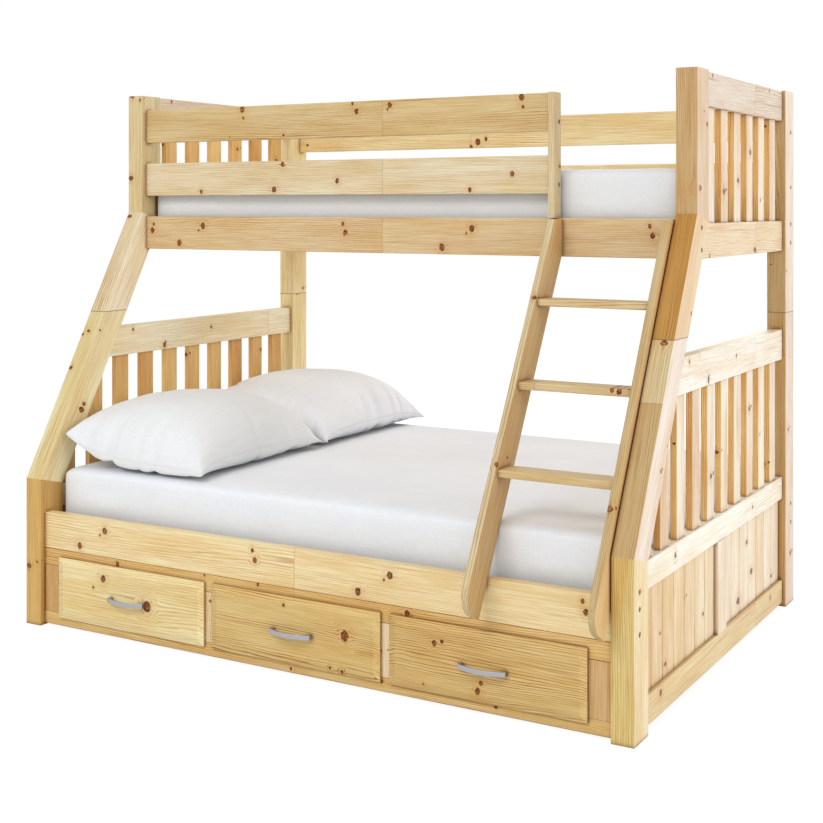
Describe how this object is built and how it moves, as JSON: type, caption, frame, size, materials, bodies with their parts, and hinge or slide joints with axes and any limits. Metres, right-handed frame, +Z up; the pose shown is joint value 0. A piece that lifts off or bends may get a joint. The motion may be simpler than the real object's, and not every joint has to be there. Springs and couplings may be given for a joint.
{
  "type": "bunk bed with drawers",
  "caption": "Solid pine bunk bed, a narrow bunk over a wide one, with slanted front legs, guard rails, a fixed ladder, bedding and sliding storage drawers.",
  "frame": {"origin": "on the floor, at the middle of the whole footprint, ladder toes included", "axes": "+X along the bed to the ladder end, +Y from the drawer front to the back, +Z up"},
  "size_m": [2.06, 1.5883, 1.72],
  "materials": {
    "pine": "clear satin lacquer",
    "inner_pine": "sanded, unfinished",
    "dowel_beech": "turned, unfinished",
    "satin_metal": "satin",
    "bolt_steel": "zinc plated",
    "mattress_cotton": "fine plain weave",
    "pillow_cotton": "fine plain weave"
  },
  "bodies": {
    "frame": {"back_post_lower_left": "pine", "back_post_lower_right": "pine", "back_post_upper_left": "pine", "back_post_upper_right": "pine", "front_foot_left": "pine", "front_foot_right": "pine", "front_leg_lower_left": "pine", "front_leg_lower_right": "pine", "front_leg_upper_left": "pine", "front_leg_upper_right": "pine", "front_head_post_left": "pine", "front_head_post_right": "pine", "post_dowels": "dowel_beech", "upper_end_top_rails": "pine", "upper_end_bottom_rails": "pine", "lower_end_top_rails": "pine", "end_mid_rails": "pine", "end_bottom_rails": "pine", "upper_end_slats": "pine", "lower_end_slats": "pine", "end_panel_boards": "pine", "end_panel_stiles": "pine", "lower_front_rail": "pine", "lower_back_rail": "pine", "upper_front_rail": "pine", "upper_back_rail": "pine", "guard_front_upper": "pine", "guard_front_lower": "pine", "guard_back_rails": "pine", "guard_post": "pine", "slat_cleats": "inner_pine", "upper_bed_slats": "inner_pine", "lower_bed_slats": "inner_pine", "centre_beam": "inner_pine", "ladder_stile_left": "pine", "ladder_stile_right": "pine", "ladder_rungs": "pine", "drawer_top_rail": "pine", "drawer_bottom_rail": "pine", "drawer_stiles": "pine", "drawer_partitions": "inner_pine", "drawer_back_board": "inner_pine", "drawer_runners": "inner_pine", "frame_bolts": "bolt_steel", "barrel_nuts": "bolt_steel", "lower_mattress": "mattress_cotton", "upper_mattress": "mattress_cotton", "pillow_front": "pillow_cotton", "pillow_back": "pillow_cotton"},
    "drawer_left": {"drawer_front_left": "pine", "drawer_box_left": "inner_pine", "drawer_handle_left": "satin_metal"},
    "drawer_middle": {"drawer_front_middle": "pine", "drawer_box_middle": "inner_pine", "drawer_handle_middle": "satin_metal"},
    "drawer_right": {"drawer_front_right": "pine", "drawer_box_right": "inner_pine", "drawer_handle_right": "satin_metal"}
  },
  "joints": [
    {"name": "drawer_left_slide", "type": "slide", "parent": "frame", "child": "drawer_left", "axis": [0, -1, 0], "range_m": [0, 0.45]},
    {"name": "drawer_middle_slide", "type": "slide", "parent": "frame", "child": "drawer_middle", "axis": [0, -1, 0], "range_m": [0, 0.45]},
    {"name": "drawer_right_slide", "type": "slide", "parent": "frame", "child": "drawer_right", "axis": [0, -1, 0], "range_m": [0, 0.45]}
  ]
}
